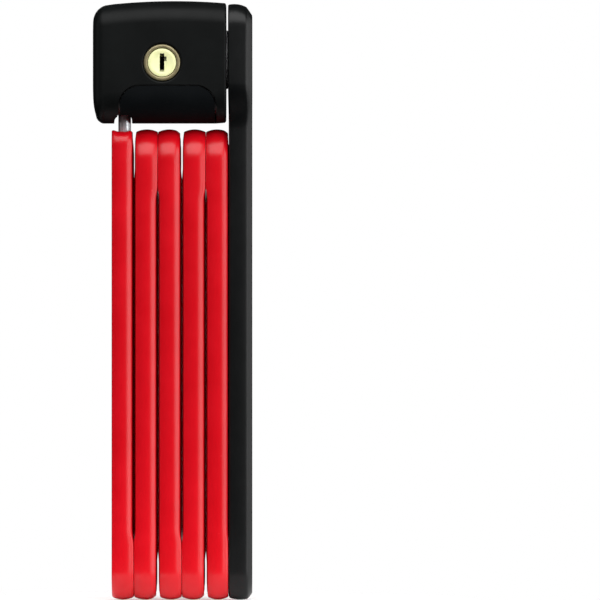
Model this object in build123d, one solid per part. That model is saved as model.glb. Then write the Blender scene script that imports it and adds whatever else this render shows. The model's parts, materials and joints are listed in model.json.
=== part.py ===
from build123d import *
import math
import os

# Folding bike lock, folded upright. X: across the stack, +Y: rear, +Z: up. Millimetres.
# Six flat links stand side by side; the body with the key cylinder sits on top of links 1 to 5.

REACH = 60.0                # past every face of the body, for cuts that run right through

# --- the stack of links ---
LINK_PITCH = 7.9            # between the middles of neighbouring red links
LINK_1_X = -16.75           # middle of link 1, the leftmost
CORE_THICK = 5.0            # hardened steel bar
CORE_HALF_WIDTH = 7.8
COVER_HALF_THICK = 3.35
COVER_HALF_WIDTH = 9.5
COVER_CROWN = 0.85          # how far the front and back of a cover are domed
COVER_BELLY = 0.4           # how far its flat sides swell at mid depth
COVER_EDGE_RADIUS = 1.1
PAD_RISE = 0.55             # a cover swells towards its mate around a rivet
PAD_RISE_OUTER = 0.1        # the same between links 5 and 6, which stand closer
PAD_LENGTH = 9.0            # full swell, from the rivet inwards
PAD_BLEND = 5.0             # and its slope
RIVET_TO_END = 9.5
LOW_RIVET_Z = RIVET_TO_END
HIGH_RIVET_Z = 145.3

# --- link 6, the black outer link ---
OUTER_LEFT = 18.5
OUTER_RIGHT = 26.2
OUTER_CORE_LEFT = 19.6
OUTER_HEAD_LEFT = 18.3
OUTER_HEAD_TOP = 196.7
OUTER_CORE_HEAD_RADIUS = 11.5
OUTER_SIDE_RADIUS = 2.5
OUTER_CROWN = (22.8, 195.9) # point on the slope of its top, in the front view
OUTER_SHOULDER_Z = 192.5

# --- rivets ---
SHANK_R = 4.0
HEAD_R = 5.8
HEAD_DEPTH = 2.1            # of the countersink
HEAD_LAND = 0.3             # its straight part
HEAD_ROUNDING = 0.5
HEAD_PROUD = 0.7
HEAD_HOLE_R = 6.1           # opening in a cover around a rivet head
WASHER_R = 7.4
WASHER_HOLE_R = 7.6
RUN = 0.05                  # running clearance
HOLE_DEPTH = 6.0            # from the middle of a link out through its cover

# --- body ---
BODY_LEFT = -26.2
BODY_RIGHT = 17.6
BODY_BOTTOM = 157.4
BODY_TOP = 197.5
BODY_HALF_DEPTH = 15.0
BODY_LOW_RADIUS = 10.0
BODY_HIGH_RADIUS = 7.0
BODY_SIDE_RADIUS = 4.0      # upright edges on the left
SHELL = 2.2
CASE_INSET = 2.4            # steel case, inside the shell
SEAM_Y = 6.0                # where the front and rear shells meet
PIVOT_Z = 178.4             # rivet between body and link 6
PIVOT_R = 5.0
PIVOT_HEAD_R = 7.6
PIVOT_SINK = 2.6            # depth of its countersink
PIVOT_INNER_END = 8.5
PIVOT_WASHER_R = 9.7
PIVOT_WASHER_THICK = 0.6
PIVOT_HEAD_PROUD = 1.0
CROSS_PIN_R = 1.25
CROSS_PIN_Y = (-8.0, 11.0)
CROSS_PIN_SETBACK = 3.2     # from the inner end of the body rivet

# --- tongue of link 1 and its slot in the body ---
TONGUE_LEFT = -18.0
TONGUE_RIGHT = -13.9
TONGUE_HALF_WIDTH = 4.0
TONGUE_EYE_Z = 162.4
TONGUE_EYE_R = 2.4
SLEEVE_TOP = 154.6
SLEEVE_CORNER = 3.7
TONGUE_ROOT = 8.0           # how deep the tongue starts inside link 1's cover
SLOT_LEFT = -18.6
SLOT_RIGHT = -13.4
NOTCH_LEFT = -19.5
NOTCH_RIGHT = -13.4
NOTCH_TOP = 159.9
NOTCH_CORNER = 1.6
SLOT_CEILING_R = 11.4       # about the body pivot, just inside the path of the tongue's tip
SLOT_FRONT = -4.7
SLOT_CLEAR = 0.6

# --- front insert panel ---
PANEL_LEFT = -17.3
PANEL_RIGHT = 14.0
PANEL_TOP = 169.4
PANEL_CORNER = 6.6
PANEL_GROOVE = 0.35
PANEL_THICK = 2.0
PANEL_BACK = -3.0

# --- lock cylinder ---
KEY_X = -3.4
KEY_Z = 177.1
BARREL_R = 6.05
BARREL_FRONT = -14.6
BARREL_REAR = 3.0
PLUG_R = 4.65
PLUG_FRONT = -14.35
PLUG_BORE_R = 3.6
PLUG_FACE = 2.0
KEY_SLOT = (1.5, 6.0)
WARD = (1.2, 1.5)
WARD_PLACE = (0.9, 1.2)
SIDE_BAR_HALF = 0.55
SIDE_BAR_LOW = 2.95         # above the cylinder's middle
MOUTH_CHAMFER = 1.0
BARREL_PIN_R = 1.0
BARREL_PIN_Y = -7.0
BARREL_PIN_Z = (161.2, 171.9)
DISC_COUNT = 7
DISC_THICK = 1.4
DISC_PITCH = 1.9
DISC_SLOT = (1.6, 4.6)
CAM_R = 5.0
CAM_FRONT = 3.1
CAM_REAR = 5.1
CRANK_R = 3.9
CRANK_PIN_R = 1.2
CRANK_REST_DEG = 45.0       # crank pin right of straight down, bolt drawn back
STUB_R = 2.0
CLIP_Y = (5.2, 6.0)
CLIP_R = 2.6
CLIP_GROOVE = 0.5
CLIP_MOUTH = 1.6
POCKET_X = (-11.0, 4.6)     # room behind the cylinder for the cam and the bolt's tail
POCKET_TOP = 183.4

# --- locking bolt ---
BOLT_R = 2.0
BOLT_TIP = -13.2
BOLT_BLOCK = (-6.0, 2.56)
BOLT_BLOCK_Y = (-2.5, 3.8)
BOLT_LOW = 160.4
BOLT_HIGH = 164.4
TAIL_Y = (6.4, 8.4)
TAIL_LOW = 162.0
TAIL_HALF = 3.2
TAIL_TOP = 176.6
FORK_CLEAR = 0.3
BOLT_TRAVEL = 5.5
BOLT_ROOM = 0.4
PLATE_Y = (9.0, 10.6)       # steel plate that closes the case
PLATE_X = (-12.4, 10.2)
PLATE_Z = (163.0, 188.0)
SCREW_PLACES = [(-9.5, 185.9), (8.0, 185.9), (8.0, 165.1)]
SCREW_R = 0.9
SCREW_DEPTH = 4.5
SCREW_HEAD_R = 1.8
SCREW_HEAD_DEPTH = 0.8


def xz_slab(face, y0, y1):
    """A front-view outline, extruded from y0 back to y1."""
    return extrude(Plane.XZ.offset(-y1) * face, y1 - y0)


def yz_slab(face, x0, x1):
    """A side-view outline, extruded from x0 to x1."""
    return extrude(Plane.YZ.offset(x0) * face, x1 - x0)


def box(x0, x1, y0, y1, z0, z1):
    middle = ((x0 + x1) / 2, (y0 + y1) / 2, (z0 + z1) / 2)
    return Pos(*middle) * Box(x1 - x0, y1 - y0, z1 - z0)


def x_rod(radius, x0, x1, y, z):
    return Pos(x0, y, z) * Rot(0, 90, 0) * Cylinder(radius, x1 - x0, align=(Align.CENTER, Align.CENTER, Align.MIN))


def y_rod(radius, x, y0, y1, z):
    return Pos(x, y1, z) * Rot(90, 0, 0) * Cylinder(radius, y1 - y0, align=(Align.CENTER, Align.CENTER, Align.MIN))


def link_x(number):
    """The middle of links 1 to 5."""
    return LINK_1_X + (number - 1) * LINK_PITCH


# ---------------------------------------------------------------- links

def cover_section(left, right, left_belly, right_belly):
    """Level section of a cover: gently bellied sides, domed front and back, rounded corners."""
    middle = (left + right) / 2
    shoulder = COVER_HALF_WIDTH - COVER_CROWN
    front = ThreePointArc((left, -shoulder), (middle, -COVER_HALF_WIDTH), (right, -shoulder))
    back = ThreePointArc((right, shoulder), (middle, COVER_HALF_WIDTH), (left, shoulder))
    right_side = side_line(right, shoulder, right_belly)
    left_side = side_line(left, shoulder, -left_belly)
    face = make_face(front + right_side + back + left_side)
    return fillet(face.vertices(), COVER_EDGE_RADIUS)


def side_line(x, shoulder, belly):
    """One side of a cover's section, straight where it has no belly."""
    if belly == 0:
        return Line((x, -shoulder), (x, shoulder))
    return ThreePointArc((x, -shoulder), (x + belly, 0), (x, shoulder))


def round_end(section, z, up):
    """Half a turn of the section about the rivet, closing the end of a cover."""
    half = section & Pos(0, REACH / 2, 0) * Rectangle(2 * REACH, REACH)
    axis = Axis((0, 0, z), (1, 0, 0) if up else (-1, 0, 0))
    return revolve(Pos(0, 0, z) * half, axis, 180)


def run_of(section, z0, z1):
    return extrude(Pos(0, 0, z0) * section, z1 - z0)


def blend_of(low, high, z0, z1):
    return loft([Pos(0, 0, z0) * low, Pos(0, 0, z1) * high], ruled=True)


def widened(left, right, side, rise, bellies):
    """The section with the side towards the mate moved out and flat."""
    if side < 0:
        return cover_section(left - rise, right, 0, bellies[1])
    return cover_section(left, right + rise, bellies[0], 0)


def cover_blank(left, right, low_side, low_rise, high_side, bellies):
    """Outer shape of a red cover between its two rivets, swollen towards the mate at each."""
    plain = cover_section(left, right, *bellies)
    low = widened(left, right, low_side, low_rise, bellies)
    low_full = LOW_RIVET_Z + PAD_LENGTH
    low_end = low_full + PAD_BLEND
    solid = round_end(low, LOW_RIVET_Z, False) + run_of(low, LOW_RIVET_Z, low_full)
    solid += blend_of(low, plain, low_full, low_end)
    if high_side == 0:
        return solid + run_of(plain, low_end, SLEEVE_TOP)
    high = widened(left, right, high_side, PAD_RISE, bellies)
    high_full = HIGH_RIVET_Z - PAD_LENGTH
    high_start = high_full - PAD_BLEND
    solid += run_of(plain, low_end, high_start)
    solid += blend_of(plain, high, high_start, high_full)
    return solid + run_of(high, high_full, HIGH_RIVET_Z) + round_end(high, HIGH_RIVET_Z, True)


def bar(x0, x1, half_width, z0, z1):
    """Flat bar with round ends, z0 and z1 being the middles of the ends."""
    length = z1 - z0 + 2 * half_width
    outline = Pos(0, (z0 + z1) / 2) * Rot(0, 0, 90) * SlotOverall(length, 2 * half_width)
    return yz_slab(outline, x0, x1)


def rivet_profile(left, right, shank, head, gap, proud):
    """Turned outline of a rivet whose countersunk heads lie in the faces at left and right."""
    cone = HEAD_DEPTH - HEAD_LAND
    left_land = left + HEAD_LAND + gap
    right_land = right - HEAD_LAND - gap
    return [
        (left - proud, 0),
        (left - proud, head - HEAD_ROUNDING),
        (left - proud / 2, head),
        (left_land, head),
        (left_land + cone, shank),
        (right_land - cone, shank),
        (right_land, head),
        (right + proud / 2, head),
        (right + proud, head - HEAD_ROUNDING),
        (right + proud, 0),
    ]


def turned(points, z):
    """Revolve an (x, radius) outline about the X axis at height z."""
    face = make_face(Polyline(*points, close=True))
    return Pos(0, 0, z) * revolve(face, Axis.X, 360)


def core_faces(number):
    if number == 6:
        return OUTER_CORE_LEFT, OUTER_CORE_LEFT + CORE_THICK
    middle = link_x(number)
    return middle - CORE_THICK / 2, middle + CORE_THICK / 2


def joint_z(child):
    """Height of the rivet between link child and link child + 1."""
    return LOW_RIVET_Z if child % 2 else HIGH_RIVET_Z


def joint_rivet(child):
    left = core_faces(child)[0]
    right = core_faces(child + 1)[1]
    return turned(rivet_profile(left, right, SHANK_R, HEAD_R, 0, HEAD_PROUD), joint_z(child))


def rivet_room(child, gap):
    """Room for the rivet in a core: no gap in the link that carries it, running clearance in the other."""
    left = core_faces(child)[0]
    right = core_faces(child + 1)[1]
    points = rivet_profile(left, right, SHANK_R + gap, HEAD_R + gap, gap, HEAD_DEPTH)
    return turned(points, joint_z(child))


def joint_washer(child):
    """Thrust washer on the rivet, between the two cores."""
    x0 = core_faces(child)[1] + RUN
    x1 = core_faces(child + 1)[0]
    ring = Circle(WASHER_R) - Circle(SHANK_R)
    return Pos(0, 0, joint_z(child)) * yz_slab(ring, x0, x1)


def tongue():
    """Flat steel tongue with a round tip and an eye for the bolt."""
    root = SLEEVE_TOP - TONGUE_ROOT
    outline = Pos(0, (root + TONGUE_EYE_Z) / 2) * Rectangle(2 * TONGUE_HALF_WIDTH, TONGUE_EYE_Z - root)
    outline += Pos(0, TONGUE_EYE_Z) * Circle(TONGUE_HALF_WIDTH)
    outline -= Pos(0, TONGUE_EYE_Z) * Circle(TONGUE_EYE_R)
    return yz_slab(outline, TONGUE_LEFT, TONGUE_RIGHT)


def link_core(number):
    x0, x1 = core_faces(number)
    if number == 6:
        solid = bar(x0, x1, CORE_HALF_WIDTH, LOW_RIVET_Z, PIVOT_Z)
        solid += x_rod(OUTER_CORE_HEAD_RADIUS, x0, x1, 0, PIVOT_Z)
        solid -= pivot_room(RUN)
        return solid - rivet_room(5, 0)
    if number == 1:
        solid = bar(x0, x1, CORE_HALF_WIDTH, LOW_RIVET_Z, HIGH_RIVET_Z - 1.5) + tongue()
        return solid - rivet_room(1, RUN)
    solid = bar(x0, x1, CORE_HALF_WIDTH, LOW_RIVET_Z, HIGH_RIVET_Z)
    solid -= rivet_room(number, RUN)
    return solid - rivet_room(number - 1, 0)


def cover_holes(child, number):
    """Openings in a cover at one joint: for the washer towards the mate, for the rivet head on the far side."""
    z = joint_z(child)
    middle = sum(core_faces(number)) / 2
    left = middle - HOLE_DEPTH
    right = middle + HOLE_DEPTH
    if number == child:
        return x_rod(WASHER_HOLE_R, middle, right, 0, z) + x_rod(HEAD_HOLE_R, left, middle, 0, z)
    return x_rod(WASHER_HOLE_R, left, middle, 0, z) + x_rod(HEAD_HOLE_R, middle, right, 0, z)


def sleeve_end(middle):
    """Shape that trims the top of link 1's cover: flat, with rounded corners front and back."""
    outline = Pos(0, SLEEVE_TOP / 2) * Rectangle(2 * COVER_HALF_WIDTH, SLEEVE_TOP)
    outline = fillet(outline.vertices().sort_by(Axis.Y)[-2:], SLEEVE_CORNER)
    return yz_slab(outline, middle - LINK_PITCH, middle + LINK_PITCH)


def red_cover(number):
    middle = link_x(number)
    left = middle - COVER_HALF_THICK
    right = middle + COVER_HALF_THICK
    low_side = 1 if number % 2 else -1
    high_side = 0 if number == 1 else -low_side
    low_rise = PAD_RISE_OUTER if number == 5 else PAD_RISE
    bellies = (0 if number == 1 else COVER_BELLY, 0 if number == 5 else COVER_BELLY)
    solid = cover_blank(left, right, low_side, low_rise, high_side, bellies)
    if number == 1:
        solid &= sleeve_end(middle)
    solid -= core_blank(number)
    solid -= cover_holes(number, number)
    if number > 1:
        solid -= cover_holes(number - 1, number)
    return solid


def core_blank(number):
    """The core without its rivet holes, which a cover is moulded around."""
    x0, x1 = core_faces(number)
    if number == 6:
        solid = bar(x0, x1, CORE_HALF_WIDTH, LOW_RIVET_Z, PIVOT_Z)
        return solid + x_rod(OUTER_CORE_HEAD_RADIUS, x0, x1, 0, PIVOT_Z)
    if number == 1:
        whole = bar(x0, x1, CORE_HALF_WIDTH, LOW_RIVET_Z, HIGH_RIVET_Z - 1.5)
        return whole + tongue()
    return bar(x0, x1, CORE_HALF_WIDTH, LOW_RIVET_Z, HIGH_RIVET_Z)


def outer_cover():
    """Black cover of link 6: a plain shaft, and a head with the body's own side view."""
    plain = cover_section(OUTER_LEFT, OUTER_RIGHT, 0, 0)
    low = cover_section(OUTER_LEFT - PAD_RISE_OUTER, OUTER_RIGHT, 0, 0)
    low_full = LOW_RIVET_Z + PAD_LENGTH
    solid = round_end(low, LOW_RIVET_Z, False) + run_of(low, LOW_RIVET_Z, low_full)
    solid += blend_of(low, plain, low_full, low_full + PAD_BLEND)
    solid += run_of(plain, low_full + PAD_BLEND, PIVOT_Z)
    solid += outer_head()
    solid -= core_blank(6)
    solid -= cover_holes(5, 6)
    solid -= x_rod(PIVOT_R + 0.15, OUTER_HEAD_LEFT - 1, OUTER_CORE_LEFT + 1, 0, PIVOT_Z)
    return solid - x_rod(PIVOT_HEAD_R + 0.3, OUTER_CORE_LEFT + 1, OUTER_RIGHT + 1, 0, PIVOT_Z)


def outer_head():
    side = side_outline(0, BODY_BOTTOM + 2.0, OUTER_HEAD_TOP)
    head = yz_slab(side, OUTER_HEAD_LEFT, OUTER_RIGHT)
    top = ThreePointArc((OUTER_HEAD_LEFT, OUTER_HEAD_TOP), OUTER_CROWN, (OUTER_RIGHT, OUTER_SHOULDER_Z))
    outline = top + Polyline(
        (OUTER_RIGHT, OUTER_SHOULDER_Z),
        (OUTER_RIGHT, BODY_BOTTOM),
        (OUTER_HEAD_LEFT, BODY_BOTTOM),
        (OUTER_HEAD_LEFT, OUTER_HEAD_TOP),
    )
    head &= xz_slab(make_face(outline), -REACH, REACH)
    return head & plan_block(OUTER_HEAD_LEFT, OUTER_RIGHT, OUTER_RIGHT, OUTER_SIDE_RADIUS)


# ---------------------------------------------------------------- body

def side_outline(inset, bottom=BODY_BOTTOM, top=BODY_TOP):
    """Side view of the body: flat front and back, large round corners."""
    half = BODY_HALF_DEPTH - inset
    low = bottom + inset
    high = top - inset
    face = Pos(0, (low + high) / 2) * Rectangle(2 * half, high - low)
    face = fillet(face.vertices().sort_by(Axis.Y)[:2], BODY_LOW_RADIUS - inset)
    corners = [v for v in face.vertices() if v.Y > high - 0.01]
    return fillet(corners, BODY_HIGH_RADIUS - inset)


def front_outline():
    """Front view of the body: domed top, rounded upper left corner, drawn-in foot."""
    edges = Line((16.4, BODY_BOTTOM), (-22.6, BODY_BOTTOM))
    edges += ThreePointArc((-22.6, BODY_BOTTOM), (-24.5, 158.1), (-25.3, 159.9))
    edges += ThreePointArc((-25.3, 159.9), (-26.0, 163.2), (BODY_LEFT, 166.5))
    edges += Line((BODY_LEFT, 166.5), (BODY_LEFT, 190.3))
    edges += ThreePointArc((BODY_LEFT, 190.3), (-24.75, 194.4), (-21.0, 196.35))
    edges += ThreePointArc((-21.0, 196.35), (-2.0, BODY_TOP), (16.6, 196.9))
    edges += ThreePointArc((16.6, 196.9), (17.35, 196.5), (BODY_RIGHT, 195.7))
    edges += Line((BODY_RIGHT, 195.7), (BODY_RIGHT, 163.5))
    edges += Line((BODY_RIGHT, 163.5), (17.25, 158.3))
    edges += ThreePointArc((17.25, 158.3), (17.0, 157.65), (16.4, BODY_BOTTOM))
    return make_face(edges)


def body_blank():
    blank = yz_slab(side_outline(0), BODY_LEFT - 1, BODY_RIGHT + 1)
    blank &= xz_slab(front_outline(), -REACH, REACH)
    return blank & plan_block(BODY_LEFT, BODY_RIGHT, BODY_LEFT, BODY_SIDE_RADIUS)


def plan_block(x0, x1, rounded_x, radius):
    """Upright block over the body's plan, its corners rounded on the side at rounded_x."""
    plan = Pos((x0 + x1) / 2, 0) * Rectangle(x1 - x0, 2 * BODY_HALF_DEPTH)
    corners = [v for v in plan.vertices() if abs(v.X - rounded_x) < 0.01]
    return extrude(Pos(0, 0, BODY_BOTTOM - REACH) * fillet(corners, radius), 2 * REACH)


def case_blank(inset):
    """What is left inside walls of the given thickness, a little thicker at the rounded left end."""
    return yz_slab(side_outline(inset), BODY_LEFT + inset + 0.4, BODY_RIGHT - inset)


def swept_slot():
    """Path of the tongue: from the rest place rearwards about the body pivot, and straight out to the rear."""
    half = TONGUE_HALF_WIDTH + SLOT_CLEAR
    region = Pos(0, PIVOT_Z) * (Circle(REACH) - Circle(SLOT_CEILING_R))
    window = Pos(REACH / 2, (PIVOT_Z + half) / 2) * Rectangle(REACH, PIVOT_Z + half)
    low_front = Pos(SLOT_FRONT / 2, PIVOT_Z / 2) * Rectangle(-SLOT_FRONT, PIVOT_Z)
    ceiling_front = Pos(SLOT_FRONT / 2, 0) * Rectangle(-SLOT_FRONT, 2 * (PIVOT_Z - SLOT_CEILING_R))
    return yz_slab((region & window) + (region & low_front & ceiling_front), SLOT_LEFT, SLOT_RIGHT)


def notch():
    """Arched opening under the tongue, right through from front to back."""
    outline = Pos((NOTCH_LEFT + NOTCH_RIGHT) / 2, NOTCH_TOP / 2) * Rectangle(NOTCH_RIGHT - NOTCH_LEFT, NOTCH_TOP)
    outline = fillet(outline.vertices().sort_by(Axis.Y)[-2:], NOTCH_CORNER)
    return xz_slab(outline, -REACH, REACH)


def panel_outline(grow):
    """Front view of the insert: an arch with a flat top and round shoulders."""
    left = PANEL_LEFT - grow
    right = PANEL_RIGHT + grow
    top = PANEL_TOP + grow
    face = Pos((left + right) / 2, top / 2) * Rectangle(right - left, top)
    return fillet(face.vertices().sort_by(Axis.Y)[-2:], PANEL_CORNER + grow)


def panel_prism(grow):
    return xz_slab(panel_outline(grow), -REACH, PANEL_BACK)


def key_opening():
    """Hole for the cylinder in the front shell, with a chamfered mouth."""
    radius = BARREL_R + 0.25
    hole = y_rod(radius, KEY_X, -REACH, 0, KEY_Z)
    low_end = (Align.CENTER, Align.CENTER, Align.MAX)
    mouth = Cone(radius, radius + MOUTH_CHAMFER, MOUTH_CHAMFER, align=low_end)
    return hole + Pos(KEY_X, -BODY_HALF_DEPTH, KEY_Z) * Rot(90, 0, 0) * mouth


def shells():
    blank = body_blank()
    hollow = blank - case_blank(SHELL) - swept_slot() - notch()
    hollow -= x_rod(PIVOT_R + 0.1, PIVOT_INNER_END, REACH, 0, PIVOT_Z)
    hollow -= key_opening()
    front = hollow & box(-REACH, REACH, -REACH, SEAM_Y, 0, BODY_TOP)
    rear = hollow & box(-REACH, REACH, SEAM_Y, REACH, 0, BODY_TOP)
    panel = panel_prism(0) & (blank - case_blank(PANEL_THICK)) - notch() - swept_slot()
    front -= panel_prism(PANEL_GROOVE)
    return front, rear, panel


def steel_case():
    solid = case_blank(CASE_INSET)
    solid -= swept_slot() + notch()
    solid -= y_rod(BARREL_R, KEY_X, -REACH, BARREL_REAR, KEY_Z)
    solid -= mechanism_room()
    solid -= x_rod(BOLT_R + RUN, SLOT_RIGHT - 1, -8, 0, TONGUE_EYE_Z)
    solid -= x_rod(BOLT_R + 0.2, SLOT_LEFT - 2.0, SLOT_LEFT + 1, 0, TONGUE_EYE_Z)
    solid -= xz_slab(plate_outline(0), PLATE_Y[0], BODY_HALF_DEPTH)
    solid -= x_rod(PIVOT_R, PIVOT_INNER_END, REACH, 0, PIVOT_Z)
    solid -= pivot_pin()
    solid -= barrel_pin()
    for x, z in SCREW_PLACES:
        solid -= y_rod(SCREW_R, x, PLATE_Y[0] - SCREW_DEPTH - 0.5, PLATE_Y[1], z)
    return solid


def mechanism_room():
    """Pocket behind the cylinder, and the channel the bolt slides in."""
    floor = TAIL_LOW - BOLT_ROOM
    roof = BOLT_HIGH + BOLT_ROOM
    left = BOLT_BLOCK[0] - BOLT_TRAVEL - BOLT_ROOM
    right = BOLT_BLOCK[1] + BOLT_ROOM
    pocket = box(*POCKET_X, BARREL_REAR, PLATE_Y[0], floor, POCKET_TOP)
    channel = box(left, right, BOLT_BLOCK_Y[0] - 0.1, BOLT_BLOCK_Y[1] + 0.2, BOLT_LOW - 0.1, roof)
    return pocket + channel + box(left, right, BARREL_REAR, PLATE_Y[0], floor, roof)


def plate_outline(play):
    """Rear view of the plate that closes the mechanism."""
    middle = (sum(PLATE_X) / 2, sum(PLATE_Z) / 2)
    width = PLATE_X[1] - PLATE_X[0] - 2 * play
    height = PLATE_Z[1] - PLATE_Z[0] - 2 * play
    return Pos(*middle) * RectangleRounded(width, height, 2.0)


def mechanism_plate():
    plate = xz_slab(plate_outline(0.05), *PLATE_Y)
    for x, z in SCREW_PLACES:
        plate -= y_rod(SCREW_R + 0.1, x, 0, REACH, z)
        plate -= y_rod(SCREW_HEAD_R + 0.1, x, PLATE_Y[1] - SCREW_HEAD_DEPTH, REACH, z)
    return plate


def plate_screws():
    screws = []
    under_head = PLATE_Y[1] - SCREW_HEAD_DEPTH
    for x, z in SCREW_PLACES:
        shank = y_rod(SCREW_R, x, PLATE_Y[0] - SCREW_DEPTH, under_head, z)
        head = y_rod(SCREW_HEAD_R, x, under_head, PLATE_Y[1], z)
        slot = box(x - 1.5, x + 1.5, PLATE_Y[1] - 0.4, PLATE_Y[1] + 1, z - 0.25, z + 0.25)
        screws.append(shank + head - slot)
    return Compound(screws)


def pivot_profile(gap, proud, inner_end):
    face = OUTER_CORE_LEFT + CORE_THICK
    return [
        (inner_end, 0),
        (inner_end, PIVOT_R + gap),
        (face - PIVOT_SINK - gap, PIVOT_R + gap),
        (face - gap, PIVOT_HEAD_R + gap),
        (face + proud / 2, PIVOT_HEAD_R + gap),
        (face + proud, PIVOT_HEAD_R + gap - HEAD_ROUNDING),
        (face + proud, 0),
    ]


def pivot_room(gap):
    return turned(pivot_profile(gap, HEAD_DEPTH, PIVOT_INNER_END), PIVOT_Z)


def body_rivet():
    return turned(pivot_profile(0, PIVOT_HEAD_PROUD, PIVOT_INNER_END), PIVOT_Z) - pivot_pin()


def pivot_pin():
    """Cross pin that holds the body rivet in the case."""
    return y_rod(CROSS_PIN_R, PIVOT_INNER_END + CROSS_PIN_SETBACK, *CROSS_PIN_Y, PIVOT_Z)


def body_washer():
    ring = Circle(PIVOT_WASHER_R) - Circle(PIVOT_R)
    return Pos(0, 0, PIVOT_Z) * yz_slab(ring, BODY_RIGHT, BODY_RIGHT + PIVOT_WASHER_THICK)


# ---------------------------------------------------------------- lock cylinder

def keyway():
    """Front view of the key slot: a plain upright slot with one side ward, about the cylinder's middle."""
    return Rectangle(*KEY_SLOT) + Pos(*WARD_PLACE) * Rectangle(*WARD)


def barrel():
    solid = y_rod(BARREL_R, KEY_X, BARREL_FRONT, BARREL_REAR, KEY_Z)
    solid -= y_rod(PLUG_R + RUN, KEY_X, -REACH, REACH, KEY_Z)
    rim = solid.edges().filter_by(GeomType.CIRCLE).sort_by(Axis.Y)[:2]
    return chamfer(rim, 0.3) - barrel_pin()


def barrel_pin():
    """Pin from below that holds the barrel in the case."""
    low, high = BARREL_PIN_Z
    pin = Cylinder(BARREL_PIN_R, high - low, align=(Align.CENTER, Align.CENTER, Align.MIN))
    return Pos(KEY_X, BARREL_PIN_Y, low) * pin


def plug():
    solid = y_rod(PLUG_R, KEY_X, PLUG_FRONT, BARREL_REAR, KEY_Z)
    rim = solid.edges().filter_by(GeomType.CIRCLE).sort_by(Axis.Y)[:1]
    solid = chamfer(rim, 0.25)
    solid -= y_rod(PLUG_BORE_R, KEY_X, PLUG_FRONT + PLUG_FACE, 1.4, KEY_Z)
    solid -= Pos(KEY_X, 0, KEY_Z) * xz_slab(keyway(), -REACH, PLUG_FRONT + PLUG_FACE + 1)
    half = SIDE_BAR_HALF + 0.1
    solid -= box(KEY_X - half, KEY_X + half, PLUG_FRONT + PLUG_FACE + 0.5, 1.0, KEY_Z + 2.0, KEY_Z + BARREL_R)
    stub = y_rod(STUB_R, KEY_X, BARREL_REAR - 0.5, CLIP_Y[1] + 0.3, KEY_Z)
    return solid + stub - clip_ring(CLIP_R)


def clip_ring(outer):
    return y_rod(outer, KEY_X, *CLIP_Y, KEY_Z) - y_rod(STUB_R - CLIP_GROOVE, KEY_X, *CLIP_Y, KEY_Z)


def retaining_clip():
    """Open ring in the groove of the plug's stub, behind the cam."""
    mouth = box(KEY_X - CLIP_MOUTH / 2, KEY_X + CLIP_MOUTH / 2, 0, REACH, KEY_Z, KEY_Z + REACH)
    return clip_ring(CLIP_R) - mouth


def detainer_discs():
    """Rotating discs inside the plug, each with a key slot and a notch for the side bar."""
    discs = []
    half = SIDE_BAR_HALF + 0.15
    for i in range(DISC_COUNT):
        y0 = PLUG_FRONT + PLUG_FACE + 0.2 + i * DISC_PITCH
        y1 = y0 + DISC_THICK
        disc = y_rod(PLUG_BORE_R - 0.1, KEY_X, y0, y1, KEY_Z)
        disc -= Pos(KEY_X, 0, KEY_Z) * xz_slab(Rectangle(*DISC_SLOT), y0, y1)
        disc -= box(KEY_X - half, KEY_X + half, y0, y1, KEY_Z + SIDE_BAR_LOW - 0.15, KEY_Z + PLUG_R)
        discs.append(disc)
    return Compound(discs)


def side_bar():
    """Bar along the top of the plug that drops into the discs' notches."""
    left = KEY_X - SIDE_BAR_HALF
    right = KEY_X + SIDE_BAR_HALF
    return box(left, right, PLUG_FRONT + PLUG_FACE + 0.7, 0.8, KEY_Z + SIDE_BAR_LOW, KEY_Z + PLUG_R - 0.1)


def crank_place():
    angle = math.radians(CRANK_REST_DEG)
    return KEY_X + CRANK_R * math.sin(angle), KEY_Z - CRANK_R * math.cos(angle)


def drive_cam():
    """Disc on the end of the plug, with the crank pin that drives the bolt."""
    x, z = crank_place()
    solid = y_rod(CAM_R, KEY_X, CAM_FRONT, CAM_REAR, KEY_Z) - y_rod(STUB_R, KEY_X, 0, REACH, KEY_Z)
    return solid + y_rod(CRANK_PIN_R, x, CAM_REAR - 0.5, TAIL_Y[1] + 0.3, z)


def locking_bolt():
    """Round nose along X, a block that runs in the case, and a forked tail around the crank pin."""
    x, z = crank_place()
    solid = x_rod(BOLT_R, BOLT_TIP, BOLT_BLOCK[0] + 1, 0, TONGUE_EYE_Z)
    solid = chamfer(solid.edges().filter_by(GeomType.CIRCLE).sort_by(Axis.X)[0], 0.4)
    solid += box(*BOLT_BLOCK, *BOLT_BLOCK_Y, BOLT_LOW, BOLT_HIGH)
    solid += box(*BOLT_BLOCK, 0, TAIL_Y[1], TAIL_LOW, BOLT_HIGH)
    solid += box(x - TAIL_HALF, x + TAIL_HALF, *TAIL_Y, TAIL_LOW, TAIL_TOP)
    half = CRANK_PIN_R + FORK_CLEAR
    fork = box(x - half, x + half, 0, REACH, z - CRANK_PIN_R - 1.5, TAIL_TOP + 1)
    return solid - fork


def write(name, shape):
    export_step(shape, os.path.join("parts", name + ".step"))


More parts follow.
